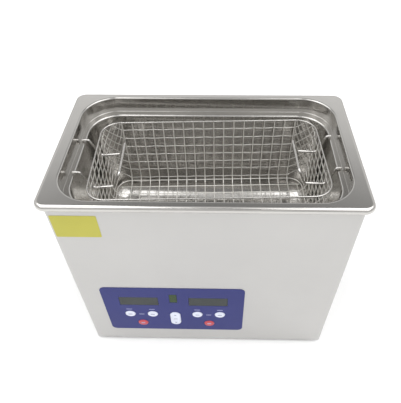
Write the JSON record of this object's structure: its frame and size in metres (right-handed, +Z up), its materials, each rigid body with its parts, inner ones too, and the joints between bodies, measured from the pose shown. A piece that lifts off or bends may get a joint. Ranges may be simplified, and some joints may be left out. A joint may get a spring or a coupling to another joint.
{
  "type": "ultrasonic cleaner",
  "caption": "Bench ultrasonic cleaner: stainless tank with a wide rolled rim, lift-out wire mesh basket, folded steel case and a front control panel with keys and displays.",
  "frame": {"origin": "centre of the footprint on the surface the feet stand on", "axes": "+X to the operator's right, +Y to the rear, +Z up"},
  "size_m": [0.33, 0.195, 0.28],
  "materials": {
    "tank_steel": "bright drawn",
    "case_steel": "fine satin",
    "base_steel": "plain",
    "foot_rubber": "matt",
    "screw_steel": "plated",
    "panel_film": "printed film",
    "display_tint": "dark tinted",
    "indicator_tint": "green tinted",
    "white_keys": "moulded",
    "red_keys": "moulded",
    "black_moulding": "moulded",
    "rocker_plastic": "polished",
    "lamp_lens": "clear green",
    "circuit_board": "lacquered",
    "brass_parts": "turned",
    "sticker_film": "plain film",
    "basket_wire": "electropolished",
    "transducer_aluminium": "turned",
    "piezo_ceramic": "fired",
    "back_mass_steel": "turned",
    "heater_silicone": "moulded",
    "sensor_metal": "cast",
    "sink_aluminium": "anodised",
    "transformer_parts": "ferrite and tape",
    "capacitor_sleeve": "shrunk sleeve",
    "lead_jacket": "flexible"
  },
  "bodies": {
    "housing": {"board_screws": "screw_steel", "board_spacers": "brass_parts", "bottom_plate": "base_steel", "case_screws": "screw_steel", "control_board": "circuit_board", "display_left": "black_moulding", "display_right": "black_moulding", "display_window_left": "display_tint", "display_window_right": "display_tint", "fan_frame": "black_moulding", "filter_capacitors": "capacitor_sleeve", "foot_front_left": "foot_rubber", "foot_front_right": "foot_rubber", "foot_rear_left": "foot_rubber", "foot_rear_right": "foot_rubber", "foot_screws": "screw_steel", "front_sticker": "sticker_film", "generator_board": "circuit_board", "heat_sink": "sink_aluminium", "heater_lead": "lead_jacket", "heater_pad_front": "heater_silicone", "heater_pad_rear": "heater_silicone", "housing_shell": "case_steel", "indicator_lamp": "lamp_lens", "indicator_window": "indicator_tint", "inlet_pins": "brass_parts", "mains_inlet": "black_moulding", "mains_lead": "lead_jacket", "output_transformer": "transformer_parts", "panel_overlay": "panel_film", "piezo_electrodes": "brass_parts", "piezo_rings": "piezo_ceramic", "rear_panel": "case_steel", "tact_switches": "black_moulding", "tall_key_cradle": "black_moulding", "tank": "tank_steel", "temperature_sensor": "sensor_metal", "transducer_back_masses": "back_mass_steel", "transducer_bolts": "screw_steel", "transducer_front_masses": "transducer_aluminium", "transducer_lead": "lead_jacket"},
    "basket": {"basket_front": "basket_wire", "basket_back": "basket_wire", "basket_left_end": "basket_wire", "basket_right_end": "basket_wire", "basket_floor": "basket_wire", "basket_corners": "basket_wire", "basket_top_wire": "basket_wire", "basket_handle_left": "basket_wire", "basket_handle_right": "basket_wire"},
    "round_key_1": {"round_key_1": "white_keys"},
    "round_key_2": {"round_key_2": "white_keys"},
    "round_key_3": {"round_key_3": "white_keys"},
    "round_key_4": {"round_key_4": "white_keys"},
    "red_key_left": {"red_key_left": "red_keys"},
    "red_key_right": {"red_key_right": "red_keys"},
    "tall_key": {"tall_key": "white_keys"},
    "power_rocker": {"power_rocker": "rocker_plastic"},
    "fuse_drawer": {"fuse_drawer": "black_moulding"},
    "fan_rotor": {"fan_rotor": "black_moulding"}
  },
  "joints": [
    {"name": "basket_lift", "type": "slide", "parent": "housing", "child": "basket", "axis": [0, 0, 1], "range_m": [0, 0.135]},
    {"name": "round_key_1_press", "type": "slide", "parent": "housing", "child": "round_key_1", "axis": [0, 1, 0], "range_m": [0, 0.0005], "stiffness_N_per_m": 2000},
    {"name": "round_key_2_press", "type": "slide", "parent": "housing", "child": "round_key_2", "axis": [0, 1, 0], "range_m": [0, 0.0005], "stiffness_N_per_m": 2000},
    {"name": "round_key_3_press", "type": "slide", "parent": "housing", "child": "round_key_3", "axis": [0, 1, 0], "range_m": [0, 0.0005], "stiffness_N_per_m": 2000},
    {"name": "round_key_4_press", "type": "slide", "parent": "housing", "child": "round_key_4", "axis": [0, 1, 0], "range_m": [0, 0.0005], "stiffness_N_per_m": 2000},
    {"name": "red_key_left_press", "type": "slide", "parent": "housing", "child": "red_key_left", "axis": [0, 1, 0], "range_m": [0, 0.0005], "stiffness_N_per_m": 2000},
    {"name": "red_key_right_press", "type": "slide", "parent": "housing", "child": "red_key_right", "axis": [0, 1, 0], "range_m": [0, 0.0005], "stiffness_N_per_m": 2000},
    {"name": "tall_key_rock", "type": "hinge", "parent": "housing", "child": "tall_key", "pos_m": [-0.0415, -0.09, 0.062], "axis": [1, 0, 0], "range_deg": [-2.5, 2.5], "stiffness_Nm_per_rad": 0.5},
    {"name": "power_switch", "type": "hinge", "parent": "housing", "child": "power_rocker", "pos_m": [-0.11, 0.0924, 0.068], "axis": [1, 0, 0], "range_deg": [-16, 0]},
    {"name": "fuse_drawer_slide", "type": "slide", "parent": "housing", "child": "fuse_drawer", "axis": [0, 1, 0], "range_m": [0, 0.018]},
    {"name": "fan_spin", "type": "hinge", "parent": "housing", "child": "fan_rotor", "pos_m": [0.095, 0.085, 0.062], "axis": [0, 1, 0], "continuous": true}
  ]
}
